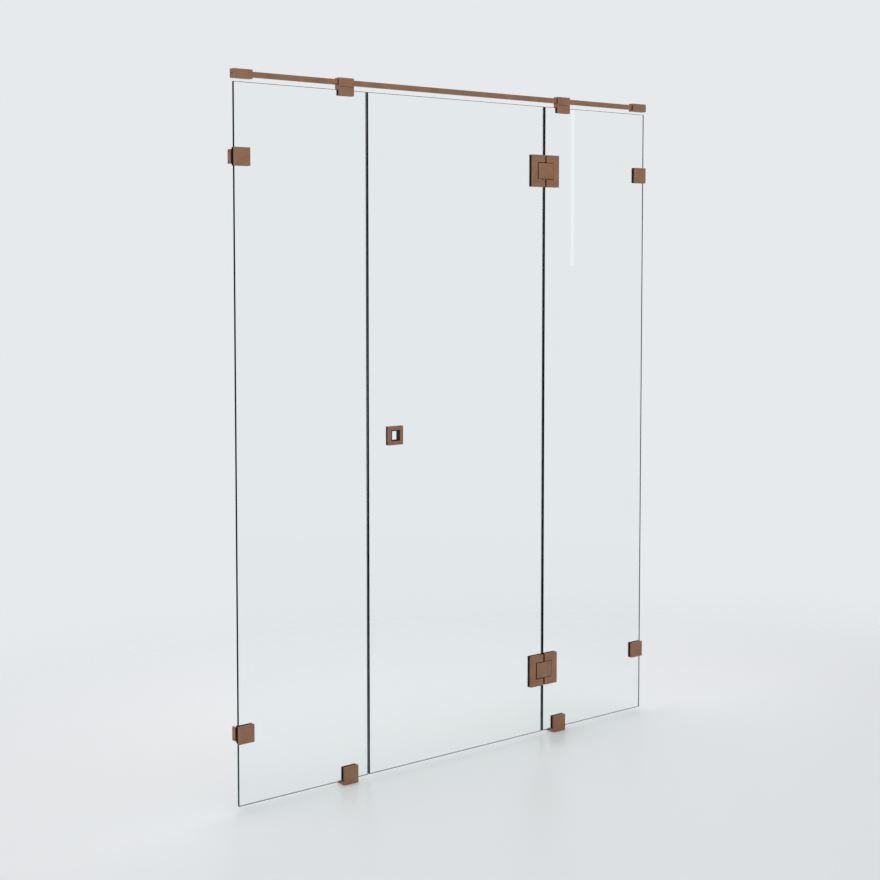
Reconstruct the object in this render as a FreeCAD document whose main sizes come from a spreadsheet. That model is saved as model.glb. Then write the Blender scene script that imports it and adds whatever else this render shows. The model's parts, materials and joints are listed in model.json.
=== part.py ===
import FreeCAD, Part
import os
import re
import Sketcher

# Frameless shower front for a niche: a glass door hinged between two fixed glass panels.
# x runs from the left wall to the right wall with 0 in the middle, y runs from the room into
# the shower with 0 in the middle of the glass, and z runs up from the finished floor.

Vector = FreeCAD.Vector
Rotation = FreeCAD.Rotation

# Driving dimensions in millimetres.
SIZES = {
    # Niche and glass
    "niche_width": 1600.0,
    "glass_height": 2000.0,
    "glass_thickness": 8.0,
    "glass_arris": 0.8,
    "floor_gap": 12.0,
    "wall_gap": 3.0,
    "door_width": 690.0,
    "strike_gap": 5.0,
    "hinge_gap": 6.0,
    # Plates, gaskets and screws that several fittings share
    "fitting_level": 202.0,
    "plate_thickness": 7.0,
    "plate_bevel": 0.7,
    "gasket_thickness": 1.0,
    "rear_pad_thickness": 5.0,
    "rear_plate_thickness": 5.0,
    "rear_inset": 5.0,
    "seat_clearance": 0.1,
    "small_screw_radius": 2.5,
    "small_head_radius": 5.0,
    "small_key_radius": 1.8,
    # Wall and floor clamps
    "clamp_size": 50.0,
    "clamp_screw_inset": 27.0,
    "clamp_screw_radius": 3.0,
    "clamp_head_radius": 6.0,
    "clamp_key_radius": 2.3,
    "clamp_thread_depth": 4.8,
    "clamp_sleeve_radius": 8.0,
    "leg_thickness": 5.0,
    "leg_depth": 11.0,
    "anchor_spacing": 26.0,
    "anchor_hole_radius": 2.6,
    "anchor_head_radius": 4.7,
    "floor_clamp_height": 52.0,
    "floor_clamp_setback": 67.0,
    "floor_screw_rise": 20.0,
    "floor_base_thickness": 6.0,
    "setting_block_length": 40.0,
    "setting_block_thickness": 2.0,
    # Hinges
    "hinge_height": 100.0,
    "hinge_seam": 6.0,
    "hinge_back_gap": 0.6,
    "hinge_screw_spacing": 28.0,
    "hinge_thread_depth": 4.8,
    "knuckle_width": 62.0,
    "knuckle_height": 50.0,
    "knuckle_groove": 4.0,
    "knuckle_play": 2.0,
    "knuckle_joint": 1.2,
    "pivot_offset": 10.0,
    "pin_radius": 2.0,
    "pin_cover": 5.0,
    "pin_recess": 0.5,
    "pin_bevel": 0.4,
    "pin_seat_clearance": 0.02,
    "running_clearance": 0.05,
    "bush_wall": 0.6,
    "bush_length": 12.0,
    "bush_flange_width": 0.7,
    "bush_end_gap": 0.3,
    "boss_radius": 6.0,
    "boss_clearance": 3.0,
    "notch_clearance": 1.5,
    "notch_radius": 6.0,
    "leaf_grip": 5.0,
    # Door knob
    "knob_size": 56.0,
    "knob_hole": 32.0,
    "knob_ring_thickness": 4.0,
    "knob_inner_thickness": 4.0,
    "knob_inner_pad_thickness": 2.0,
    "knob_inner_inset": 3.0,
    "knob_bevel": 0.5,
    "knob_level": 1000.0,
    "knob_setback": 95.0,
    "knob_sleeve_wall": 2.5,
    "knob_sleeve_shoulder": 1.0,
    "knob_sleeve_clearance": 0.7,
    "knob_gasket_inset": 0.5,
    "knob_screw_radius": 1.5,
    "knob_head_radius": 2.8,
    "knob_key_radius": 1.1,
    "knob_thread_depth": 2.8,
    # Stabiliser bar
    "bar_height": 15.0,
    "bar_depth": 12.0,
    "bar_bevel": 0.5,
    "bar_rise": 21.3,
    "bar_clearance": 0.2,
    "bar_end_gap": 0.5,
    "collar_height": 25.0,
    "collar_depth": 22.0,
    "socket_length": 60.0,
    "socket_end_wall": 5.0,
    "socket_screw_inset": 14.0,
    "set_screw_radius": 2.5,
    "set_screw_key_radius": 1.4,
    "set_screw_recess": 0.8,
    "bar_clamp_width": 52.0,
    "bar_clamp_overlap": 16.5,
    "bar_clamp_setback": 75.0,
    "liner_rear_thickness": 3.0,
    "joining_screw_spacing": 32.0,
    "joining_thread_depth": 4.0,
    "glass_screw_drop": 7.0,
    "glass_screw_spacing": 30.0,
}

# Places across the niche
SIDE_WIDTH = "(niche_width - 2 * wall_gap - strike_gap - door_width - hinge_gap) / 2"
LEFT_WALL = "-niche_width / 2"
RIGHT_WALL = "niche_width / 2"
LEFT_GLASS_X = f"{LEFT_WALL} + wall_gap"
LEFT_FREE_EDGE = f"{LEFT_GLASS_X} + {SIDE_WIDTH}"
DOOR_X = f"{LEFT_FREE_EDGE} + strike_gap"
HINGE_X = f"{DOOR_X} + door_width + hinge_gap / 2"
RIGHT_GLASS_X = f"{HINGE_X} + hinge_gap / 2"

# Heights above the floor
GLASS_TOP = "floor_gap + glass_height"
LOWER_LEVEL = "floor_gap + fitting_level"
UPPER_LEVEL = f"{GLASS_TOP} - fitting_level"
BAR_LEVEL = f"{GLASS_TOP} + bar_rise"
LEVELS = {"upper": UPPER_LEVEL, "lower": LOWER_LEVEL}

# Distances from the middle of the glass
GLASS_FACE = "(glass_thickness / 2)"
JAW_INNER = f"({GLASS_FACE} + gasket_thickness)"
JAW_OUTER = f"({JAW_INNER} + plate_thickness)"
REAR_INNER = f"({GLASS_FACE} + rear_pad_thickness)"
REAR_OUTER = f"({REAR_INNER} + rear_plate_thickness)"
LEG_END = f"({REAR_OUTER} + leg_depth)"
ANCHOR_Y = f"({REAR_OUTER} + leg_depth / 2)"
PIN_Y = f"-({JAW_INNER} + plate_thickness / 2)"
KNOB_INNER = f"({GLASS_FACE} + knob_inner_pad_thickness)"
KNOB_REAR = f"({KNOB_INNER} + knob_inner_thickness)"

# Front pieces and rear pieces differ in thickness, and the rear plates are set in from the pads
PAD_THICKNESS = {True: "gasket_thickness", False: "rear_pad_thickness"}
PLATE_THICKNESS = {True: "plate_thickness", False: "rear_plate_thickness"}
PLATE_INSET = {True: "0", False: "rear_inset"}

# Distances from the middle of the seam at the hinges
KNUCKLE_HALF = "(knuckle_width / 2)"
GROOVE_END = f"({KNUCKLE_HALF} + knuckle_groove)"
BOSS_X = f"({GROOVE_END} + boss_clearance + boss_radius)"
TONGUE_REACH = f"({BOSS_X} + boss_radius)"
NOTCH_REACH = f"({TONGUE_REACH} + notch_clearance)"
LEAF_REACH = f"({NOTCH_REACH} + leaf_grip)"
TONGUE_SCREW_X = f"(({KNUCKLE_HALF} + {TONGUE_REACH}) / 2)"
NOTCH_DEPTH = f"({NOTCH_REACH} - hinge_gap / 2)"
NOTCH_HALF = "(knuckle_height / 2 + knuckle_play + seat_clearance)"
EAR_START = "(knuckle_height / 2 + knuckle_play)"
JOINT_END = f"({KNUCKLE_HALF} + knuckle_joint)"
JOINT_HALF = "(knuckle_height / 2 + knuckle_joint)"
# A hinge plate's distance from the seam, and the reach and half height of its notch round the knuckle
BACK_GAPS = ("hinge_back_gap / 2", f"({KNUCKLE_HALF} + hinge_back_gap)",
             "(knuckle_height / 2 + hinge_back_gap)")
FIXED_GAPS = {True: ("hinge_seam / 2", JOINT_END, JOINT_HALF), False: BACK_GAPS}
DOOR_GAPS = {True: ("hinge_seam / 2", GROOVE_END, EAR_START), False: BACK_GAPS}
BUSH_RADIUS = "(pin_radius + bush_wall)"

# Distances round the knob's finger hole: the hole in the glass clears the corners of the sleeve's shoulder
KNOB_SLEEVE_HALF = "(knob_hole / 2 - seat_clearance)"
KNOB_OPENING_HALF = f"({KNOB_SLEEVE_HALF} - knob_sleeve_wall)"
KNOB_SHOULDER_HALF = "(knob_hole / 2 + knob_sleeve_shoulder)"
KNOB_GLASS_RADIUS = f"({KNOB_SHOULDER_HALF} * sqrt(2) + knob_sleeve_clearance)"
KNOB_SCREW_OFFSET = f"(({KNOB_SHOULDER_HALF} + {KNOB_GLASS_RADIUS}) / 2)"

# Distances in the bar clamps and sockets
COLLAR_BACK = "(collar_depth / 2)"
COLLAR_TOP = "(collar_height / 2)"
BORE_BACK = "(bar_depth / 2 + bar_clearance)"
BORE_TOP = "(bar_height / 2 + bar_clearance)"
COLLAR_WALL = f"({COLLAR_BACK} - bar_depth / 2)"
JAW_TOP = f"(bar_rise - {COLLAR_TOP})"
LINER_BACK = f"({GLASS_FACE} + liner_rear_thickness)"

# Flat faces and edges are matched to within this
TOLERANCE = 1e-6

FRONT = Vector(0, -1, 0)
BACK = Vector(0, 1, 0)
ENDS = [Vector(1, 0, 0), Vector(-1, 0, 0)]
TOP_AND_FOOT = [Vector(0, 0, 1), Vector(0, 0, -1)]
LEFT_TO_RIGHT = Rotation(Vector(0, 1, 0), 180)
UPSIDE_DOWN = Rotation(Vector(1, 0, 0), 180)
HEAD_DOWN = Rotation(Vector(1, 0, 0), -90)
AXIS_TURNS = {
    "x": Rotation(Vector(0, 1, 0), 90),
    "y": Rotation(Vector(1, 0, 0), -90),
    "z": Rotation(),
}
PLANES = {"xy": "XY_Plane", "xz": "XZ_Plane", "yz": "YZ_Plane"}
SIGNS = ("-", "")
WALLS = (("left", LEFT_WALL, "+", None), ("right", RIGHT_WALL, "-", LEFT_TO_RIGHT))
FREE_EDGES = (("left", LEFT_FREE_EDGE, "-"), ("right", RIGHT_GLASS_X, "+"))

doc = FreeCAD.newDocument("shower_door")
sheet = doc.addObject("Spreadsheet::Sheet", "Sizes")
for row, (size_name, size_value) in enumerate(SIZES.items(), 1):
    sheet.set(f"A{row}", size_name)
    sheet.set(f"B{row}", str(size_value))
    sheet.setAlias(f"B{row}", size_name)
doc.recompute()

nodes = {}


def bind(item, prop, formula):
    """Tie one property of an object to a formula of named sizes."""
    def from_sheet(word):
        return f"Sizes.{word.group()}" if word.group() in SIZES else word.group()
    item.setExpression(prop, re.sub(r"[a-z_]+", from_sheet, formula))


def place(item, x="0", y="0", z="0", turn=None):
    """Put an object at a point given by three formulas, with a fixed turn."""
    item.Placement = FreeCAD.Placement(Vector(), turn or Rotation())
    for letter, formula in zip("xyz", (x, y, z)):
        bind(item, f"Placement.Base.{letter}", formula)
    return item


def keep(name, item):
    """Name an object as a sub-part to be written out."""
    item.Label = name
    nodes[name] = item


def keep_group(name, items):
    """Name several like pieces as one sub-part of separate solids."""
    group = doc.addObject("Part::Compound", name)
    group.Links = items
    keep(name, group)


def new_body(name):
    return doc.addObject("PartDesign::Body", f"{name}_body")


def draw(body, plane, loops):
    """Sketch closed outlines whose corners stand at formula coordinates."""
    sketch = body.newObject("Sketcher::SketchObject", f"{body.Name}_sketch")
    support = next(item for item in body.Origin.OriginFeatures if item.Role == PLANES[plane])
    sketch.AttachmentSupport = (support, "")
    sketch.MapMode = "FlatFace"
    for points in loops:
        first = sketch.GeometryCount
        count = len(points)
        for step in range(count):
            start = Vector(step, step * step, 0)
            end = Vector(step + 1, (step + 1) ** 2, 0)
            sketch.addGeometry(Part.LineSegment(start, end), False)
        for step in range(count):
            following = first + (step + 1) % count
            sketch.addConstraint(Sketcher.Constraint("Coincident", first + step, 2, following, 1))
        for step, point in enumerate(points):
            for kind, formula in zip(("DistanceX", "DistanceY"), point):
                number = sketch.addConstraint(Sketcher.Constraint(kind, -1, 1, first + step, 1, 1.0))
                bind(sketch, f"Constraints[{number}]", formula)
    return sketch


def pad(body, plane, loops, length, symmetric=False, reverse=False):
    """Extrude closed outlines from a plane of the body."""
    sketch = draw(body, plane, loops)
    feature = body.newObject("PartDesign::Pad", f"{body.Name}_pad")
    feature.Profile = sketch
    bind(feature, "Length", length)
    feature.SideType = "Symmetric" if symmetric else "One side"
    feature.Reversed = reverse


def pad_through(body, loops, front, rear):
    """Extrude closed outlines from the middle of the glass to the front and to the back."""
    pad(body, "xz", loops, front)
    pad(body, "xz", loops, rear, reverse=True)


def rectangle(left, right, low, high):
    return [(left, low), (right, low), (right, high), (left, high)]


def centred(half_width, half_height):
    return rectangle(f"-{half_width}", half_width, f"-{half_height}", half_height)


def square(half):
    return centred(half, half)


def bevel(body, directions, size):
    """Chamfer every edge of the outermost flat faces that look along the given directions."""
    doc.recompute()
    feature = body.Tip
    names = []
    for direction in directions:
        reach = {}
        for number, face in enumerate(feature.Shape.Faces, 1):
            flat = face.Surface.TypeId == "Part::GeomPlane"
            if flat and face.normalAt(0, 0).isEqual(direction, TOLERANCE):
                reach[f"Face{number}"] = face.CenterOfMass.dot(direction)
        names += [name for name in reach if reach[name] > max(reach.values()) - TOLERANCE]
    chamfer = body.newObject("PartDesign::Chamfer", f"{body.Name}_bevel")
    chamfer.Base = (feature, names)
    bind(chamfer, "Size", size)


def primitive(body, kind, axis, start, **sizes):
    """Add or remove a primitive that begins at a point and grows along an axis."""
    feature = body.newObject(f"PartDesign::{kind}", f"{body.Name}_{kind}")
    place(feature, *start, turn=AXIS_TURNS[axis])
    for prop, formula in sizes.items():
        bind(feature, prop, formula)


def drill(body, axis, start, radius, depth):
    """Cut a plain round hole that leaves the seat clearance round what it holds."""
    primitive(body, "SubtractiveCylinder", axis, start, Radius=f"{radius} + seat_clearance", Height=depth)


def sink(body, axis, start, radius, head_radius):
    """Cut a 90 degree countersink that starts at a hole's radius and opens along the axis."""
    primitive(body, "SubtractiveCone", axis, start, Radius1=f"{radius} + seat_clearance",
              Radius2=f"{head_radius} + seat_clearance", Height=f"{head_radius} - {radius}")


def slab(name, loops, thickness, front=True, bevel_size=None):
    """A flat piece parallel to the glass, grown from its own plane to the front or to the back."""
    body = new_body(name)
    pad(body, "xz", loops, thickness, reverse=not front)
    if bevel_size:
        bevel(body, [FRONT if front else BACK], bevel_size)
    return body


def key_socket(body, key_radius):
    """Cut the hexagon socket in a screw's end, as deep as it is wide to a corner."""
    primitive(body, "SubtractivePrism", "y", ("0", f"-{key_radius}", "0"), Circumradius=key_radius,
              Height=key_radius)


def flat_screw(name, radius, head_radius, key_radius, length):
    """A countersunk screw with a hexagon socket: head face at its own origin, shank towards the room."""
    body = new_body(name)
    head = f"({head_radius} - {radius})"
    primitive(body, "AdditiveCone", "y", ("0", f"-{head}", "0"), Radius1=radius,
              Radius2=head_radius, Height=head)
    primitive(body, "AdditiveCylinder", "y", ("0", f"-({length})", "0"), Radius=radius,
              Height=f"{length} - {head}")
    key_socket(body, key_radius)
    return body


def set_screw(name, length):
    """A headless screw with a hexagon socket: outer end at its own origin, tip towards the room."""
    body = new_body(name)
    primitive(body, "AdditiveCylinder", "y", ("0", f"-({length})", "0"), Radius="set_screw_radius",
              Height=length)
    key_socket(body, "set_screw_key_radius")
    return body


def glass(name, outline, holes):
    """A toughened pane with its lower left corner at its own origin and all its edges broken."""
    body = new_body(name)
    pad(body, "xz", [outline], "glass_thickness", symmetric=True)
    doc.recompute()
    feature = body.Tip
    room = feature.Shape.BoundBox
    corners = []
    for number, edge in enumerate(feature.Shape.Edges, 1):
        across = abs(edge.tangentAt(edge.FirstParameter).y) > 1 - TOLERANCE
        if across and room.XMin + TOLERANCE < edge.CenterOfMass.x < room.XMax - TOLERANCE:
            corners.append(f"Edge{number}")
    if corners:
        fillet = body.newObject("PartDesign::Fillet", f"{name}_notch_corners")
        fillet.Base = (feature, corners)
        bind(fillet, "Radius", "notch_radius")
    for x, z, radius in holes:
        primitive(body, "SubtractiveCylinder", "y", (x, f"-{GLASS_FACE}", z), Radius=radius,
                  Height="glass_thickness")
    bevel(body, [FRONT, BACK], "glass_arris")
    return body


def notched_edge(edge_x, notch_x, upward):
    """The corners of the two hinge notches along one upright edge of a pane."""
    points = []
    for level in ("fitting_level", "glass_height - fitting_level"):
        low, high = f"{level} - {NOTCH_HALF}", f"{level} + {NOTCH_HALF}"
        points += [(edge_x, low), (notch_x, low), (notch_x, high), (edge_x, high)]
    return points if upward else points[::-1]


def make_glass():
    clamp_x = "clamp_screw_inset - wall_gap"
    clamp_levels = ("fitting_level", "glass_height - fitting_level")
    plain = rectangle("0", SIDE_WIDTH, "0", "glass_height")
    holes = [(clamp_x, level, "clamp_sleeve_radius") for level in clamp_levels]
    holes.append((f"{SIDE_WIDTH} - floor_clamp_setback", "floor_screw_rise", "clamp_sleeve_radius"))
    left = glass("left_glass_panel", plain, holes)
    keep("left_glass_panel", place(left, LEFT_GLASS_X, "0", "floor_gap"))

    notched = plain + notched_edge("0", NOTCH_DEPTH, upward=False)
    holes = [(f"{SIDE_WIDTH} - ({clamp_x})", level, "clamp_sleeve_radius") for level in clamp_levels]
    holes.append(("floor_clamp_setback", "floor_screw_rise", "clamp_sleeve_radius"))
    right = glass("right_glass_panel", notched, holes)
    keep("right_glass_panel", place(right, RIGHT_GLASS_X, "0", "floor_gap"))

    outline = [("0", "0"), ("door_width", "0")]
    outline += notched_edge("door_width", f"door_width - {NOTCH_DEPTH}", upward=True)
    outline += [("door_width", "glass_height"), ("0", "glass_height")]
    door = glass("door_glass", outline, [("knob_setback", "knob_level", KNOB_GLASS_RADIUS)])
    keep("door_glass", place(door, DOOR_X, "0", "floor_gap"))


def clamp_screw(name):
    length = f"{REAR_OUTER} + {JAW_INNER} + clamp_thread_depth - seat_clearance"
    return flat_screw(name, "clamp_screw_radius", "clamp_head_radius", "clamp_key_radius", length)


def clamp_sleeve(name):
    """The plastic tube that keeps a clamp screw off the glass."""
    body = new_body(name)
    start = ("0", f"-{GLASS_FACE}", "0")
    primitive(body, "AdditiveCylinder", "y", start, Radius="clamp_sleeve_radius - seat_clearance",
              Height="glass_thickness")
    drill(body, "y", start, "clamp_screw_radius", "glass_thickness")
    return body


def clamp_jaw_holes(body, x, z):
    """The countersunk clamp screw hole through a rear jaw."""
    sink_start = f"{REAR_OUTER} - (clamp_head_radius - clamp_screw_radius)"
    drill(body, "y", (x, REAR_INNER, z), "clamp_screw_radius", "rear_plate_thickness")
    sink(body, "y", (x, sink_start, z), "clamp_screw_radius", "clamp_head_radius")


def anchor_holes(body, axis, thickness):
    """Two countersunk holes for the fixings that go into the wall or the floor."""
    sink_depth = "(anchor_head_radius - anchor_hole_radius)"
    for sign in SIGNS:
        along = f"{sign}anchor_spacing / 2"
        outer, inner = ((depth, ANCHOR_Y, along) if axis == "x" else (along, ANCHOR_Y, depth)
                        for depth in ("0", f"{thickness} - {sink_depth}"))
        primitive(body, "SubtractiveCylinder", axis, outer, Radius="anchor_hole_radius", Height=thickness)
        primitive(body, "SubtractiveCone", axis, inner, Radius1="anchor_hole_radius",
                  Radius2="anchor_head_radius", Height=sink_depth)


def wall_clamp_bracket(name):
    """Rear jaw with a leg that lies on the wall, seen from above as an L."""
    body = new_body(name)
    reach = "clamp_size - rear_inset"
    profile = [("0", REAR_INNER), (reach, REAR_INNER), (reach, REAR_OUTER),
               ("leg_thickness", REAR_OUTER), ("leg_thickness", LEG_END), ("0", LEG_END)]
    pad(body, "xy", [profile], "clamp_size - 2 * rear_inset", symmetric=True)
    bevel(body, TOP_AND_FOOT, "plate_bevel")
    clamp_jaw_holes(body, "clamp_screw_inset", "0")
    anchor_holes(body, "x", "leg_thickness")
    return body


def wall_clamp_plate(name):
    outline = rectangle("0", "clamp_size", "-clamp_size / 2", "clamp_size / 2")
    body = slab(name, [outline], "plate_thickness", bevel_size="plate_bevel")
    start = ("clamp_screw_inset", "-clamp_thread_depth", "0")
    drill(body, "y", start, "clamp_screw_radius", "clamp_thread_depth")
    return body


def wall_clamp_gasket(name, front):
    outline = rectangle("wall_gap", "clamp_size", "-clamp_size / 2", "clamp_size / 2")
    body = slab(name, [outline], PAD_THICKNESS[front], front)
    start = "-gasket_thickness" if front else "0"
    drill(body, "y", ("clamp_screw_inset", start, "0"), "clamp_screw_radius", PAD_THICKNESS[front])
    return body


def make_wall_clamps():
    gaskets, screws, sleeves = [], [], []
    for side, wall, inward, turn in WALLS:
        for height, level in LEVELS.items():
            name = f"{side}_{height}_wall_clamp"
            bracket = wall_clamp_bracket(f"{name}_bracket")
            plate = wall_clamp_plate(f"{name}_plate")
            keep(f"{name}_bracket", place(bracket, wall, "0", level, turn))
            keep(f"{name}_plate", place(plate, wall, f"-{JAW_INNER}", level, turn))
            for front, y in ((True, f"-{GLASS_FACE}"), (False, GLASS_FACE)):
                gaskets.append(place(wall_clamp_gasket(f"{name}_gasket", front), wall, y, level, turn))
            screw_x = f"{wall} {inward} clamp_screw_inset"
            screws.append(place(clamp_screw(f"{name}_screw"), screw_x, REAR_OUTER, level))
            sleeves.append(place(clamp_sleeve(f"{name}_sleeve"), screw_x, "0", level))
    keep_group("wall_clamp_gaskets", gaskets)
    keep_group("wall_clamp_screws", screws)
    keep_group("wall_clamp_sleeves", sleeves)


def floor_clamp_bracket(name):
    """Base under the glass with a toe into the shower, and a narrower rear jaw that stands on it."""
    body = new_body(name)
    step = "floor_gap - setting_block_thickness"
    base = [(f"-{JAW_INNER}", "0"), (LEG_END, "0"), (LEG_END, "floor_base_thickness"),
            (REAR_OUTER, "floor_base_thickness"), (REAR_OUTER, step), (f"-{JAW_INNER}", step)]
    jaw = rectangle(REAR_INNER, REAR_OUTER, step, "floor_clamp_height - rear_inset")
    pad(body, "yz", [base], "clamp_size", symmetric=True)
    bevel(body, ENDS, "plate_bevel")
    pad(body, "yz", [jaw], "clamp_size - 2 * rear_inset", symmetric=True)
    clamp_jaw_holes(body, "0", "floor_gap + floor_screw_rise")
    anchor_holes(body, "z", "floor_base_thickness")
    return body


def floor_clamp_plate(name):
    outline = rectangle("-clamp_size / 2", "clamp_size / 2", "0", "floor_clamp_height")
    body = slab(name, [outline], "plate_thickness", bevel_size="plate_bevel")
    start = ("0", "-clamp_thread_depth", "floor_gap + floor_screw_rise")
    drill(body, "y", start, "clamp_screw_radius", "clamp_thread_depth")
    return body


def floor_clamp_gasket(name, front):
    outline = rectangle("-clamp_size / 2", "clamp_size / 2", "floor_gap", "floor_clamp_height")
    body = slab(name, [outline], PAD_THICKNESS[front], front)
    start = ("0", "-gasket_thickness" if front else "0", "floor_gap + floor_screw_rise")
    drill(body, "y", start, "clamp_screw_radius", PAD_THICKNESS[front])
    return body


def setting_block(name):
    """The plastic block that a fixed pane stands on inside its floor clamp."""
    body = new_body(name)
    half = "setting_block_length / 2"
    outline = rectangle(f"-{half}", half, "floor_gap - setting_block_thickness", "floor_gap")
    pad(body, "xz", [outline], "glass_thickness", symmetric=True)
    return body


def make_floor_clamps():
    gaskets, screws, sleeves, blocks = [], [], [], []
    screw_level = "floor_gap + floor_screw_rise"
    for side, edge, inward in FREE_EDGES:
        name = f"{side}_floor_clamp"
        x = f"{edge} {inward} floor_clamp_setback"
        keep(f"{name}_bracket", place(floor_clamp_bracket(f"{name}_bracket"), x))
        keep(f"{name}_plate", place(floor_clamp_plate(f"{name}_plate"), x, f"-{JAW_INNER}"))
        for front, y in ((True, f"-{GLASS_FACE}"), (False, GLASS_FACE)):
            gaskets.append(place(floor_clamp_gasket(f"{name}_gasket", front), x, y))
        screws.append(place(clamp_screw(f"{name}_screw"), x, REAR_OUTER, screw_level))
        sleeves.append(place(clamp_sleeve(f"{name}_sleeve"), x, "0", screw_level))
        blocks.append(place(setting_block(f"{name}_setting_block"), x))
    keep_group("floor_clamp_gaskets", gaskets)
    keep_group("floor_clamp_screws", screws)
    keep_group("floor_clamp_sleeves", sleeves)
    keep_group("glass_setting_blocks", blocks)


def leaf(sign, inner, notch, notch_half, inset="0"):
    """The outline of a hinge leaf or its gasket: a C open towards the seam, on one side of it."""
    near, far, deep = (f"{sign}({reach})" for reach in (inner, f"{LEAF_REACH} - {inset}", notch))
    half = f"(hinge_height / 2 - {inset})"
    return [(near, f"-{half}"), (far, f"-{half}"), (far, half), (near, half), (near, notch_half),
            (deep, notch_half), (deep, f"-{notch_half}"), (near, f"-{notch_half}")]


def hinge_back_holes(body, x):
    """Two countersunk clamp screw holes through a hinge's back plate."""
    sink_start = "rear_plate_thickness - (small_head_radius - small_screw_radius)"
    for sign in SIGNS:
        z = f"{sign}hinge_screw_spacing / 2"
        drill(body, "y", (x, "0", z), "small_screw_radius", "rear_plate_thickness")
        sink(body, "y", (x, sink_start, z), "small_screw_radius", "small_head_radius")


def fixed_plate(name, front):
    """A hinge plate on the fixed glass, fitted closely round the knuckle."""
    outline = leaf("", *FIXED_GAPS[front], PLATE_INSET[front])
    body = slab(name, [outline], PLATE_THICKNESS[front], front, "plate_bevel")
    if not front:
        hinge_back_holes(body, TONGUE_SCREW_X)
        return body
    for sign in SIGNS:
        start = (TONGUE_SCREW_X, "-hinge_thread_depth", f"{sign}hinge_screw_spacing / 2")
        drill(body, "y", start, "small_screw_radius", "hinge_thread_depth")
    return body


def door_plate(name, front):
    """A hinge plate on the door glass. The front one keeps clear of the knuckle as the door turns,
    has screw bosses and holds the pin in its ears. The back one moves away from the knuckle."""
    outline = leaf("-", *DOOR_GAPS[front], PLATE_INSET[front])
    body = slab(name, [outline], PLATE_THICKNESS[front], front, "plate_bevel")
    if not front:
        hinge_back_holes(body, f"-{BOSS_X}")
        return body
    boss_length = f"{JAW_INNER} + {REAR_INNER}"
    for sign in SIGNS:
        z = f"{sign}hinge_screw_spacing / 2"
        primitive(body, "AdditiveCylinder", "y", (f"-{BOSS_X}", "0", z), Radius="boss_radius",
                  Height=boss_length)
        drill(body, "y", (f"-{BOSS_X}", "-hinge_thread_depth", z), "small_screw_radius",
              f"hinge_thread_depth + {boss_length}")
    foot = "(hinge_height / 2 - pin_cover)"
    bores = ((EAR_START, f"hinge_height / 2 - {EAR_START}"), (f"-{foot}", f"{foot} - {EAR_START}"))
    for z, depth in bores:
        primitive(body, "SubtractiveCylinder", "z", ("-pivot_offset", "-plate_thickness / 2", z),
                  Radius="pin_radius + pin_seat_clearance", Height=depth)
    return body


def knuckle(name):
    """The block between the leaves, with a tongue that is clamped in the fixed glass's notch."""
    body = new_body(name)
    half = "knuckle_height / 2"
    block = rectangle(f"-{KNUCKLE_HALF}", KNUCKLE_HALF, f"-{half}", half)
    tongue = rectangle(KNUCKLE_HALF, TONGUE_REACH, f"-{half}", half)
    pad_through(body, [block], JAW_OUTER, REAR_OUTER)
    bevel(body, [FRONT, BACK], "plate_bevel")
    pad_through(body, [tongue], JAW_INNER, REAR_INNER)
    for sign in SIGNS:
        start = (TONGUE_SCREW_X, f"-{JAW_INNER}", f"{sign}hinge_screw_spacing / 2")
        drill(body, "y", start, "small_screw_radius", f"{JAW_INNER} + {REAR_INNER}")
    primitive(body, "SubtractiveCylinder", "z", ("-pivot_offset", PIN_Y, f"-{half}"),
              Radius=BUSH_RADIUS, Height="knuckle_height")
    return body


def hinge_pin(name):
    body = new_body(name)
    foot = "(hinge_height / 2 - pin_cover - seat_clearance)"
    primitive(body, "AdditiveCylinder", "z", ("0", "0", f"-{foot}"), Radius="pin_radius",
              Height=f"{foot} + hinge_height / 2 - pin_recess")
    bevel(body, TOP_AND_FOOT, "pin_bevel")
    return body


def hinge_bush(name):
    """A flanged plain bush, whose flange carries the door's ear on top of the knuckle."""
    body = new_body(name)
    seat = "knuckle_height / 2"
    flange = "(knuckle_play - bush_end_gap)"
    foot = f"{seat} - bush_length"
    primitive(body, "AdditiveCylinder", "z", ("0", "0", foot), Radius=f"{BUSH_RADIUS} - pin_seat_clearance",
              Height="bush_length")
    primitive(body, "AdditiveCylinder", "z", ("0", "0", seat), Radius=f"{BUSH_RADIUS} + bush_flange_width",
              Height=flange)
    primitive(body, "SubtractiveCylinder", "z", ("0", "0", foot), Radius="pin_radius + running_clearance",
              Height=f"bush_length + {flange}")
    return body


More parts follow.
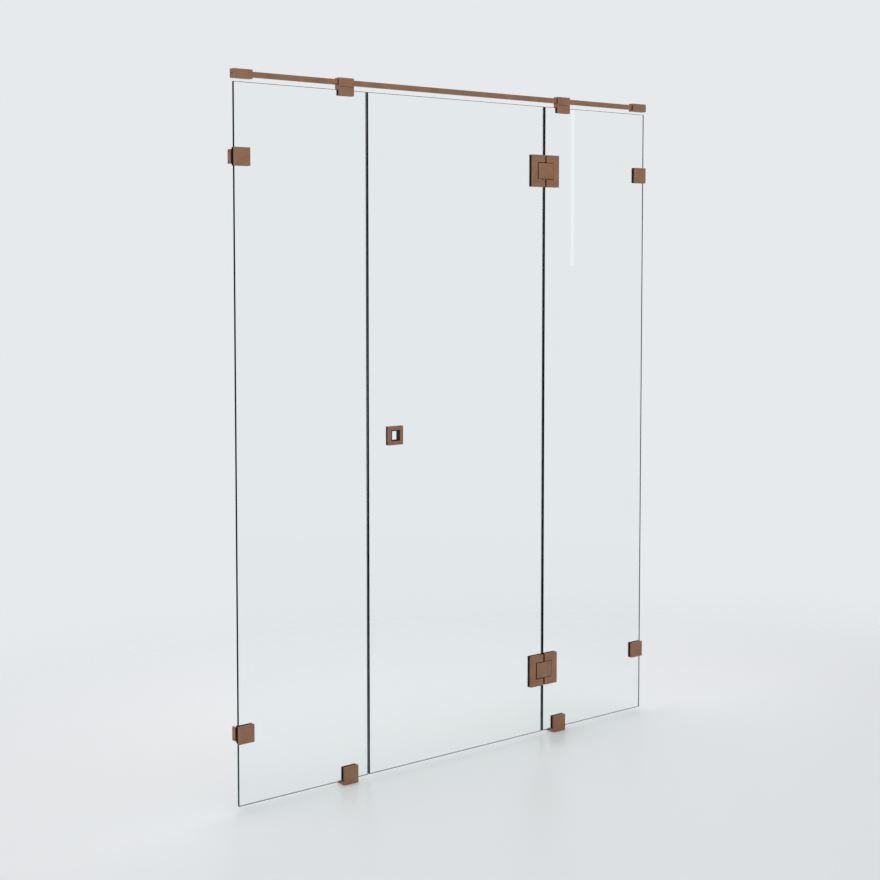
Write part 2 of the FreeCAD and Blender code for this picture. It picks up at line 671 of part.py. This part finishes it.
def make_hinges():
    bushes = []
    gaskets, screws = {"": [], "-": []}, {"": [], "-": []}
    pin_x = f"{HINGE_X} - pivot_offset"
    screw_x = {"": TONGUE_SCREW_X, "-": f"-{BOSS_X}"}
    screw_length = f"{REAR_OUTER} + {JAW_INNER} + hinge_thread_depth - seat_clearance"
    for height, level in LEVELS.items():
        name = f"{height}_hinge"
        keep(f"{name}_knuckle", place(knuckle(f"{name}_knuckle"), HINGE_X, "0", level))
        for make, part in ((fixed_plate, "fixed"), (door_plate, "door")):
            for front, place_name, y in ((True, "front", f"-{JAW_INNER}"), (False, "back", REAR_INNER)):
                label = f"{name}_{part}_{place_name}_plate"
                keep(label, place(make(label, front), HINGE_X, y, level))
        keep(f"{name}_pin", place(hinge_pin(f"{name}_pin"), pin_x, PIN_Y, level))
        for turn in (None, UPSIDE_DOWN):
            bushes.append(place(hinge_bush(f"{name}_bush"), pin_x, PIN_Y, level, turn))
        for sign in ("", "-"):
            outline = leaf(sign, "hinge_gap / 2", NOTCH_REACH, NOTCH_HALF)
            for front, y in ((True, f"-{GLASS_FACE}"), (False, GLASS_FACE)):
                gasket = slab(f"{name}_gasket", [outline], PAD_THICKNESS[front], front)
                gaskets[sign].append(place(gasket, HINGE_X, y, level))
            for above in ("+", "-"):
                screw = flat_screw(f"{name}_screw", "small_screw_radius", "small_head_radius",
                                   "small_key_radius", screw_length)
                z = f"{level} {above} hinge_screw_spacing / 2"
                screws[sign].append(place(screw, f"{HINGE_X} + {screw_x[sign]}", REAR_OUTER, z))
    keep_group("hinge_bushes", bushes)
    keep_group("hinge_fixed_gaskets", gaskets[""])
    keep_group("hinge_door_gaskets", gaskets["-"])
    keep_group("hinge_fixed_screws", screws[""])
    keep_group("hinge_door_screws", screws["-"])


def make_knob():
    x, z = f"{DOOR_X} + knob_setback", "floor_gap + knob_level"
    hole = square("(knob_hole / 2)")
    ring = [square("(knob_size / 2)"), hole]
    inner_ring = [square("(knob_size / 2 - knob_inner_inset)"), hole]
    spots = [(f"{sign}{KNOB_SCREW_OFFSET}", "0") for sign in SIGNS]
    spots += [("0", f"{sign}{KNOB_SCREW_OFFSET}") for sign in SIGNS]

    outer = slab("knob_outer_ring", ring, "knob_ring_thickness", True, "knob_bevel")
    inner = slab("knob_inner_ring", inner_ring, "knob_inner_thickness", False, "knob_bevel")
    sink_start = "knob_inner_thickness - (knob_head_radius - knob_screw_radius)"
    for right, up in spots:
        drill(outer, "y", (right, "-knob_thread_depth", up), "knob_screw_radius", "knob_thread_depth")
        drill(inner, "y", (right, "0", up), "knob_screw_radius", "knob_inner_thickness")
        sink(inner, "y", (right, sink_start, up), "knob_screw_radius", "knob_head_radius")
    keep("knob_outer_ring", place(outer, x, f"-{JAW_INNER}", z))
    keep("knob_inner_ring", place(inner, x, KNOB_INNER, z))

    # The sleeve lines the outer ring to its front face, and its shoulder is held between the rings
    sleeve = new_body("knob_sleeve")
    opening = square(KNOB_OPENING_HALF)
    pad_through(sleeve, [square(KNOB_SHOULDER_HALF), opening], JAW_INNER, KNOB_INNER)
    pad(sleeve, "xz", [square(KNOB_SLEEVE_HALF), opening], f"{JAW_INNER} + knob_ring_thickness")
    keep("knob_sleeve", place(sleeve, x, "0", z))

    gaskets = []
    window = square(f"({KNOB_SHOULDER_HALF} + seat_clearance)")
    frame = [square("(knob_size / 2 - knob_gasket_inset)"), window]
    for front, thickness in ((True, "gasket_thickness"), (False, "knob_inner_pad_thickness")):
        gasket = slab("knob_gasket", frame, thickness, front)
        start = f"-{thickness}" if front else "0"
        for right, up in spots:
            drill(gasket, "y", (right, start, up), "knob_screw_radius", thickness)
        gaskets.append(place(gasket, x, f"-{GLASS_FACE}" if front else GLASS_FACE, z))
    keep_group("knob_gaskets", gaskets)

    length = f"{KNOB_REAR} + {JAW_INNER} + knob_thread_depth - seat_clearance"
    screws = []
    for right, up in spots:
        screw = flat_screw("knob_screw", "knob_screw_radius", "knob_head_radius", "knob_key_radius", length)
        screws.append(place(screw, f"{x} + {right}", KNOB_REAR, f"{z} + {up}"))
    keep_group("knob_screws", screws)


def bar_socket(name):
    """A box-shaped cup on the wall that takes the end of the bar."""
    body = new_body(name)
    pad(body, "yz", [centred(COLLAR_BACK, COLLAR_TOP)], "socket_length")
    bevel(body, [FRONT, BACK], "plate_bevel")
    primitive(body, "SubtractiveBox", "z", ("socket_end_wall", f"-{BORE_BACK}", f"-{BORE_TOP}"),
              Length="socket_length - socket_end_wall", Width=f"2 * {BORE_BACK}", Height=f"2 * {BORE_TOP}")
    sink_depth = "(anchor_head_radius - anchor_hole_radius)"
    primitive(body, "SubtractiveCylinder", "x", ("0", "0", "0"), Radius="anchor_hole_radius",
              Height="socket_end_wall")
    primitive(body, "SubtractiveCone", "x", (f"socket_end_wall - {sink_depth}", "0", "0"),
              Radius1="anchor_hole_radius", Radius2="anchor_head_radius", Height=sink_depth)
    start = ("socket_length - socket_screw_inset", "bar_depth / 2", "0")
    drill(body, "y", start, "set_screw_radius", COLLAR_WALL)
    return body


def bar_clamp_block(name):
    """The upper half of a bar clamp, threaded onto the bar."""
    body = new_body(name)
    ring = [centred(COLLAR_BACK, COLLAR_TOP), centred(BORE_BACK, BORE_TOP)]
    pad(body, "yz", ring, "bar_clamp_width", symmetric=True)
    bevel(body, [FRONT, BACK], "plate_bevel")
    drill(body, "y", ("0", "bar_depth / 2", "0"), "set_screw_radius", COLLAR_WALL)
    for sign in SIGNS:
        start = (f"{sign}joining_screw_spacing / 2", "0", f"-{COLLAR_TOP}")
        drill(body, "z", start, "small_screw_radius", "joining_thread_depth")
    return body


def bar_clamp_jaw(name):
    """The lower half of a bar clamp: a saddle over the top edge of the glass, with a smaller rear lip."""
    body = new_body(name)
    saddle = [(f"-{COLLAR_BACK}", "-bar_clamp_overlap"), (f"-{JAW_INNER}", "-bar_clamp_overlap"),
              (f"-{JAW_INNER}", "gasket_thickness"), (COLLAR_BACK, "gasket_thickness"),
              (COLLAR_BACK, JAW_TOP), (f"-{COLLAR_BACK}", JAW_TOP)]
    lip = rectangle(LINER_BACK, COLLAR_BACK, "rear_inset - bar_clamp_overlap", "gasket_thickness")
    pad(body, "yz", [saddle], "bar_clamp_width", symmetric=True)
    bevel(body, [FRONT, BACK], "plate_bevel")
    pad(body, "yz", [lip], "bar_clamp_width - 2 * rear_inset", symmetric=True)
    for sign in SIGNS:
        x = f"{sign}joining_screw_spacing / 2"
        drill(body, "z", (x, "0", "gasket_thickness"), "small_screw_radius", f"{JAW_TOP} - gasket_thickness")
        primitive(body, "SubtractiveCone", "z", (x, "0", "gasket_thickness"),
                  Radius1="small_head_radius + seat_clearance",
                  Radius2="small_screw_radius + seat_clearance",
                  Height="small_head_radius - small_screw_radius")
        start = (f"{sign}glass_screw_spacing / 2", LINER_BACK, "-glass_screw_drop")
        drill(body, "y", start, "set_screw_radius", f"{COLLAR_BACK} - {LINER_BACK}")
    return body


def bar_clamp_liner(name):
    """The rubber channel between a bar clamp's jaw and the glass."""
    body = new_body(name)
    profile = [(f"-{JAW_INNER}", "-bar_clamp_overlap"), (f"-{GLASS_FACE}", "-bar_clamp_overlap"),
               (f"-{GLASS_FACE}", "0"), (GLASS_FACE, "0"), (GLASS_FACE, "-bar_clamp_overlap"),
               (LINER_BACK, "-bar_clamp_overlap"), (LINER_BACK, "gasket_thickness"),
               (f"-{JAW_INNER}", "gasket_thickness")]
    pad(body, "yz", [profile], "bar_clamp_width", symmetric=True)
    return body


def make_stabiliser():
    bar = new_body("stabiliser_bar")
    bar_length = "niche_width - 2 * (socket_end_wall + bar_end_gap)"
    pad(bar, "yz", [centred("(bar_depth / 2)", "(bar_height / 2)")], bar_length, symmetric=True)
    bevel(bar, [FRONT, BACK], "bar_bevel")
    keep("stabiliser_bar", place(bar, "0", "0", BAR_LEVEL))

    screw_y = f"{COLLAR_BACK} - set_screw_recess"
    bar_screw_length = f"{COLLAR_WALL} - set_screw_recess - seat_clearance"
    socket_screws = []
    for side, wall, inward, turn in WALLS:
        name = f"{side}_bar_socket"
        keep(name, place(bar_socket(name), wall, "0", BAR_LEVEL, turn))
        x = f"{wall} {inward} (socket_length - socket_screw_inset)"
        socket_screws.append(place(set_screw(f"{name}_screw", bar_screw_length), x, screw_y, BAR_LEVEL))
    keep_group("bar_socket_set_screws", socket_screws)

    liners, set_screws, joining_screws = [], [], []
    glass_screw_length = f"{COLLAR_BACK} - {LINER_BACK} - set_screw_recess - seat_clearance"
    joining_length = f"{JAW_TOP} - gasket_thickness + joining_thread_depth - seat_clearance"
    for side, edge, inward in FREE_EDGES:
        name = f"{side}_bar_clamp"
        x = f"{edge} {inward} bar_clamp_setback"
        keep(f"{name}_block", place(bar_clamp_block(f"{name}_block"), x, "0", BAR_LEVEL))
        keep(f"{name}_jaw", place(bar_clamp_jaw(f"{name}_jaw"), x, "0", GLASS_TOP))
        liners.append(place(bar_clamp_liner(f"{name}_liner"), x, "0", GLASS_TOP))
        set_screws.append(place(set_screw(f"{name}_bar_screw", bar_screw_length), x, screw_y, BAR_LEVEL))
        for sign in ("+", "-"):
            glass_screw = set_screw(f"{name}_glass_screw", glass_screw_length)
            glass_screw_x = f"{x} {sign} glass_screw_spacing / 2"
            set_screws.append(place(glass_screw, glass_screw_x, screw_y, f"{GLASS_TOP} - glass_screw_drop"))
            joining_screw = flat_screw(f"{name}_joining_screw", "small_screw_radius", "small_head_radius",
                                       "small_key_radius", joining_length)
            joining_x = f"{x} {sign} joining_screw_spacing / 2"
            head_z = f"{GLASS_TOP} + gasket_thickness"
            joining_screws.append(place(joining_screw, joining_x, "0", head_z, HEAD_DOWN))
    keep_group("bar_clamp_liners", liners)
    keep_group("bar_clamp_set_screws", set_screws)
    keep_group("bar_clamp_joining_screws", joining_screws)


make_glass()
make_wall_clamps()
make_floor_clamps()
make_hinges()
make_knob()
make_stabiliser()
doc.recompute()

for item in doc.Objects:
    if {"Invalid", "Error"} & set(item.State):
        raise RuntimeError(f"{item.Label} did not compute: {item.State}")
for name, item in nodes.items():
    if item.Shape.isNull() or not item.Shape.isValid() or not item.Shape.Solids:
        raise RuntimeError(f"{name} has no valid solid")

os.makedirs("parts", exist_ok=True)
for name, item in nodes.items():
    item.Shape.exportStep(f"parts/{name}.step")
print(f"{len(nodes)} sub-parts written")
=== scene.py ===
import json
import math

import bpy
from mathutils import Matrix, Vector

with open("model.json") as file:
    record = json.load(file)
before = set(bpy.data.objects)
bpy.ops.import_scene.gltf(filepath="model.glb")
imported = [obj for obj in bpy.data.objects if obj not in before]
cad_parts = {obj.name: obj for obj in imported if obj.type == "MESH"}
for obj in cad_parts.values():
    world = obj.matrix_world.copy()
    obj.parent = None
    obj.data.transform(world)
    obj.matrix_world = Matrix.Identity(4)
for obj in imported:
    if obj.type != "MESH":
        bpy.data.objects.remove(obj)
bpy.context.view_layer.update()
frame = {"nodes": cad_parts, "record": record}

# Colours are linear red, green and blue, and lengths are metres.
WHITE = (1.0, 1.0, 1.0)
BACKDROP = (0.80, 0.82, 0.845)

# A noise stays mostly within this span.
NOISE_SPAN = (0.25, 0.75)
# Each finer layer of a noise is this much weaker than the one before.
NOISE_FADE = 0.55
EVEN_STRETCH = (1.0, 1.0, 1.0)
UNIT_RANGE = (0.0, 1.0)

# Glass: its body has a faint film of dried drops and a slow wave, and its cut edges get painted shade.
GLASS_TINT = (0.985, 0.995, 0.993)
GLASS_DEPTH_COLOUR = (0.30, 0.72, 0.66)
GLASS_DEPTH_DENSITY = 5.0
GLASS_IOR = 1.5
FILM_SCALE = 9.0
FILM_DETAIL = 6.0
FILM_SPAN = (0.45, 0.75)
FILM_ROUGHNESS = (0.0, 0.012)
WAVE_STRETCH = (2.0, 2.0, 0.4)
WAVE_SCALE = 2.5
WAVE_DETAIL = 1.0
WAVE_BUMP = (0.02, 0.002)
# Painted shade for the glass edges: an opaque near-black, turning to a painted dark teal near the foot.
GLASS_EDGE_PAINTED_SHADE = (0.009, 0.012, 0.014)
GLASS_FOOT_EDGE_PAINTED_SHADE = (0.028, 0.075, 0.075)
GLASS_EDGE_ROUGHNESS = 0.4
# The painted edge shade turns from near black to teal between these heights above the floor.
PAINTED_EDGE_TEAL_SPAN = (0.25, 0.02)
# A glass face gets the painted edge shade when less than this share of its normal points out of the
# front.
EDGE_FACING = 0.9

# Copper plating: strokes of the brush run along the front, under a slow change of tone.
COPPER_DARK = (0.280, 0.145, 0.085)
COPPER_LIGHT = (0.366, 0.204, 0.124)
COPPER_ROUGHNESS = (0.38, 0.52)
STROKE_STRETCH = (18.0, 900.0, 900.0)
STROKE_DETAIL = 5.0
STROKE_FADE = 0.7
STROKE_BUMP = (0.12, 0.0002)
CLOUD_SCALE = 24.0
CLOUD_DETAIL = 3.0
TONE_SPAN = (0.35, 0.65)

# Floor: solid round a point in the room, fading into the backdrop away from it.
FLOOR_HALF = 14.0
FLOOR_CENTRE = (-0.2, -1.2, 0.0)
FLOOR_FADE_START = 1.7
FLOOR_FADE_END = 3.8
FLOOR_COLOUR = (0.70, 0.70, 0.70)
FLOOR_SHADE = 0.985
FLOOR_ROUGHNESS = (0.28, 0.36)
FLOOR_SHINE = 0.35
SPECKLE_SCALE = 40.0
SPECKLE_DETAIL = 5.0

# Lights: the key from the room, one over the shower side, and a slim one that the right panel mirrors.
LIGHTS = (
    {"name": "key", "place": (-2.6, -3.2, 2.6), "target": (0.0, 0.0, 0.8),
     "width": 2.6, "height": 2.6, "radiance": 1.2},
    {"name": "overhead", "place": (0.1, 0.55, 2.5), "target": (0.1, 0.54, 0.0),
     "width": 2.2, "height": 1.4, "radiance": 3.1, "mirrored": False},
    {"name": "strip", "place": (3.33, -2.98, 2.0), "target": (0.47, 0.0, 1.75),
     "width": 0.02, "height": 1.0, "radiance": 1.35},
)

# The camera stands in the room at eye height, to the left of the door.
CAMERA_PLACE = (-3.1114, -3.7319, 1.5241)
CAMERA_YAW = math.radians(39.135)
CAMERA_PITCH = math.radians(3.548)
CAMERA_LENS = 65.331
CAMERA_SHIFT_Y = -0.09
CAMERA_REACH = 60.0
SENSOR_WIDTH = 36.0


class Graph:
    """A material's node tree, built by name."""

    def __init__(self, name):
        self.material = bpy.data.materials.new(name)
        self.material.use_nodes = True
        self.tree = self.material.node_tree
        self.tree.nodes.clear()
        self.output = self.tree.nodes.new("ShaderNodeOutputMaterial")

    def add(self, kind, values=None, **options):
        node = self.tree.nodes.new(kind)
        for key, value in options.items():
            setattr(node, key, value)
        for key, value in (values or {}).items():
            node.inputs[key].default_value = value
        return node

    def link(self, source, target):
        self.tree.links.new(source, target)

    def coordinates(self, stretch):
        """Object coordinates in metres, multiplied by a stretch on each axis."""
        place = self.add("ShaderNodeTexCoord")
        mapping = self.add("ShaderNodeMapping", {"Scale": stretch})
        self.link(place.outputs["Object"], mapping.inputs["Vector"])
        return mapping.outputs["Vector"]

    def axis(self, source, name):
        """One axis of the object's own coordinates or normals."""
        place = self.add("ShaderNodeTexCoord")
        split = self.add("ShaderNodeSeparateXYZ")
        self.link(place.outputs[source], split.inputs[0])
        return split.outputs[name]

    def noise(self, vector, scale, detail, fade=NOISE_FADE):
        node = self.add("ShaderNodeTexNoise", {"Scale": scale, "Detail": detail, "Roughness": fade})
        self.link(vector, node.inputs["Vector"])
        return node.outputs["Fac"]

    def math(self, operation, value, other=0.0):
        node = self.add("ShaderNodeMath", {1: other}, operation=operation)
        self.link(value, node.inputs[0])
        return node.outputs[0]

    def average(self, first, second):
        node = self.add("ShaderNodeMix", {"Factor": 0.5})
        self.link(first, node.inputs["A"])
        self.link(second, node.inputs["B"])
        return node.outputs["Result"]

    def spread(self, value, ends, span=NOISE_SPAN):
        """Map a value that lies within a span to the range between two ends."""
        node = self.add("ShaderNodeMapRange", {"From Min": span[0], "From Max": span[1],
                                               "To Min": ends[0], "To Max": ends[1]})
        self.link(value, node.inputs["Value"])
        return node.outputs["Result"]

    def blend(self, factor, first, second):
        node = self.add("ShaderNodeMix", data_type="RGBA")
        node.inputs["A"].default_value = (*first, 1.0)
        node.inputs["B"].default_value = (*second, 1.0)
        self.link(factor, node.inputs["Factor"])
        return node.outputs["Result"]

    def bump(self, height, strength, distance):
        node = self.add("ShaderNodeBump", {"Strength": strength, "Distance": distance})
        self.link(height, node.inputs["Height"])
        return node.outputs["Normal"]

    def principled(self, links, **values):
        named = {key.replace("_", " "): value for key, value in values.items()}
        node = self.add("ShaderNodeBsdfPrincipled", named)
        for key, source in links.items():
            self.link(source, node.inputs[key])
        return node.outputs["BSDF"]

    def transparent(self):
        return self.add("ShaderNodeBsdfTransparent").outputs["BSDF"]

    def choose(self, factor, first, second):
        """The first shader where the factor is 0 and the second where it is 1."""
        node = self.add("ShaderNodeMixShader")
        self.link(factor, node.inputs["Fac"])
        self.link(first, node.inputs[1])
        self.link(second, node.inputs[2])
        return node.outputs["Shader"]

    def finish(self, shader):
        self.link(shader, self.output.inputs["Surface"])
        return self.material


def glass_material():
    """Clear toughened glass with a faint wave and faint dried drops, and with painted shade on its
    polished edges.
    """
    graph = Graph("clear_glass_fine")
    film = graph.noise(graph.coordinates(EVEN_STRETCH), FILM_SCALE, FILM_DETAIL)
    wave = graph.noise(graph.coordinates(WAVE_STRETCH), WAVE_SCALE, WAVE_DETAIL)
    body = graph.principled(
        {"Roughness": graph.spread(film, FILM_ROUGHNESS, FILM_SPAN),
         "Base Color": graph.blend(film, GLASS_TINT, WHITE),
         "Normal": graph.bump(wave, *WAVE_BUMP)},
        Transmission_Weight=1.0, IOR=GLASS_IOR)
    # Painted shade: the edges get an opaque near-black, turning teal towards the floor, in place of
    # clear glass.
    painted_teal = graph.spread(graph.axis("Object", "Z"), UNIT_RANGE, PAINTED_EDGE_TEAL_SPAN)
    painted_shade_rim = graph.principled({"Base Color": graph.blend(painted_teal, GLASS_EDGE_PAINTED_SHADE, GLASS_FOOT_EDGE_PAINTED_SHADE)},
                           Roughness=GLASS_EDGE_ROUGHNESS, Specular_IOR_Level=0.0)
    facing = graph.math("ABSOLUTE", graph.axis("Normal", "Y"))
    solid = graph.choose(graph.math("LESS_THAN", facing, EDGE_FACING), body, painted_shade_rim)
    rays = graph.add("ShaderNodeLightPath")
    depth = graph.add("ShaderNodeVolumeAbsorption",
                      {"Color": (*GLASS_DEPTH_COLOUR, 1.0), "Density": GLASS_DEPTH_DENSITY})
    graph.link(depth.outputs["Volume"], graph.output.inputs["Volume"])
    return graph.finish(graph.choose(rays.outputs["Is Shadow Ray"], solid, graph.transparent()))


def copper_material():
    """Copper plating, brushed along the front, with a slow change of tone."""
    graph = Graph("brushed_copper_fine")
    strokes = graph.noise(graph.coordinates(STROKE_STRETCH), scale=1.0,
                          detail=STROKE_DETAIL, fade=STROKE_FADE)
    cloud = graph.noise(graph.coordinates(EVEN_STRETCH), CLOUD_SCALE, CLOUD_DETAIL)
    tone = graph.spread(graph.average(strokes, cloud), UNIT_RANGE, TONE_SPAN)
    shader = graph.principled(
        {"Base Color": graph.blend(tone, COPPER_DARK, COPPER_LIGHT),
         "Roughness": graph.spread(strokes, COPPER_ROUGHNESS),
         "Normal": graph.bump(strokes, *STROKE_BUMP)},
        Metallic=1.0)
    return graph.finish(shader)


def grained_material(name, stretch, scale, detail, dark, light, roughness, bump, **values):
    """A finish whose colour, roughness and relief all follow one fine grain."""
    graph = Graph(name)
    grain = graph.noise(graph.coordinates(stretch), scale, detail)
    shader = graph.principled(
        {"Base Color": graph.blend(grain, dark, light),
         "Roughness": graph.spread(grain, roughness),
         "Normal": graph.bump(grain, *bump)},
        **values)
    return graph.finish(shader)


def rubber_material():
    """Matt black rubber with a fine moulded grain."""
    return grained_material(
        "black_rubber_fine", stretch=EVEN_STRETCH, scale=900.0, detail=3.0,
        dark=(0.003, 0.003, 0.003), light=(0.009, 0.0085, 0.008),
        roughness=(0.55, 0.78), bump=(0.15, 0.0002), Specular_IOR_Level=0.1)


def steel_material():
    """Stainless steel with fine turning marks."""
    return grained_material(
        "steel_fine", stretch=(700.0, 120.0, 700.0), scale=1.0, detail=3.0,
        dark=(0.42, 0.42, 0.43), light=(0.62, 0.62, 0.63),
        roughness=(0.24, 0.40), bump=(0.08, 0.0001), Metallic=1.0)


def plastic_material():
    """Matt black plastic with a spark-eroded surface."""
    return grained_material(
        "plastic_fine", stretch=EVEN_STRETCH, scale=1400.0, detail=2.0,
        dark=(0.008, 0.008, 0.0075), light=(0.016, 0.015, 0.014),
        roughness=(0.42, 0.60), bump=(0.10, 0.0001), Specular_IOR_Level=0.2)


def floor_material():
    """A pale satin floor that gives way to the backdrop with distance."""
    graph = Graph("pale_floor")
    place = graph.add("ShaderNodeTexCoord").outputs["Object"]
    speckle = graph.noise(place, SPECKLE_SCALE, SPECKLE_DETAIL)
    shade = tuple(FLOOR_SHADE * part for part in FLOOR_COLOUR)
    shader = graph.principled(
        {"Base Color": graph.blend(speckle, shade, FLOOR_COLOUR),
         "Roughness": graph.spread(speckle, FLOOR_ROUGHNESS)},
        Specular_IOR_Level=FLOOR_SHINE)
    length = graph.add("ShaderNodeVectorMath", {1: FLOOR_CENTRE}, operation="DISTANCE")
    graph.link(place, length.inputs[0])
    far = graph.add("ShaderNodeMapRange", {"From Min": FLOOR_FADE_START, "From Max": FLOOR_FADE_END},
                    interpolation_type="SMOOTHSTEP")
    graph.link(length.outputs["Value"], far.inputs["Value"])
    return graph.finish(graph.choose(far.outputs["Result"], shader, graph.transparent()))


def dress_nodes():
    """Give every piece the fine material of its slot."""
    fine = {
        "clear_glass": glass_material(),
        "brushed_copper": copper_material(),
        "black_rubber": rubber_material(),
        "steel": steel_material(),
        "plastic": plastic_material(),
    }
    slot_of = {part["node"]: part["material_slot"] for part in frame["record"]["subparts"]}
    for name, node in frame["nodes"].items():
        for holder in node.material_slots:
            holder.material = fine[slot_of[name]]


def make_floor():
    """A wide flat floor under the front."""
    corners = [(x * FLOOR_HALF, y * FLOOR_HALF, 0.0) for x, y in ((-1, -1), (1, -1), (1, 1), (-1, 1))]
    mesh = bpy.data.meshes.new("floor")
    mesh.from_pydata(corners, [], [(0, 1, 2, 3)])
    floor = bpy.data.objects.new("floor", mesh)
    bpy.context.scene.collection.objects.link(floor)
    mesh.materials.append(floor_material())


def make_world():
    """Even light from all round, in the colour of the backdrop."""
    world = bpy.data.worlds.new("studio")
    bpy.context.scene.world = world
    world.use_nodes = True
    background = world.node_tree.nodes["Background"]
    background.inputs["Color"].default_value = (*BACKDROP, 1.0)
    background.inputs["Strength"].default_value = 1.0


def make_camera():
    """The camera at the photo's angle."""
    data = bpy.data.cameras.new("camera")
    data.sensor_width = SENSOR_WIDTH
    data.lens = CAMERA_LENS
    data.shift_y = CAMERA_SHIFT_Y
    data.clip_end = CAMERA_REACH
    camera = bpy.data.objects.new("camera", data)
    bpy.context.scene.collection.objects.link(camera)
    camera.location = CAMERA_PLACE
    camera.rotation_euler = (math.pi / 2 - CAMERA_PITCH, 0.0, -CAMERA_YAW)
    bpy.context.scene.camera = camera


def area_light(name, place, target, width, height, radiance, mirrored=True):
    """A soft rectangle of light that no camera sees, with its brightness given per area."""
    data = bpy.data.lights.new(name, "AREA")
    data.shape = "RECTANGLE"
    data.size = width
    data.size_y = height
    data.energy = radiance * math.pi * width * height
    light = bpy.data.objects.new(name, data)
    bpy.context.scene.collection.objects.link(light)
    light.location = place
    light.rotation_euler = (Vector(target) - Vector(place)).to_track_quat("-Z", "Y").to_euler()
    light.visible_camera = False
    light.visible_transmission = False
    light.visible_glossy = mirrored


dress_nodes()
make_floor()
make_world()
make_camera()
for light in LIGHTS:
    area_light(**light)

scene = bpy.context.scene
scene.view_settings.view_transform = "Standard"
scene.view_settings.look = "None"
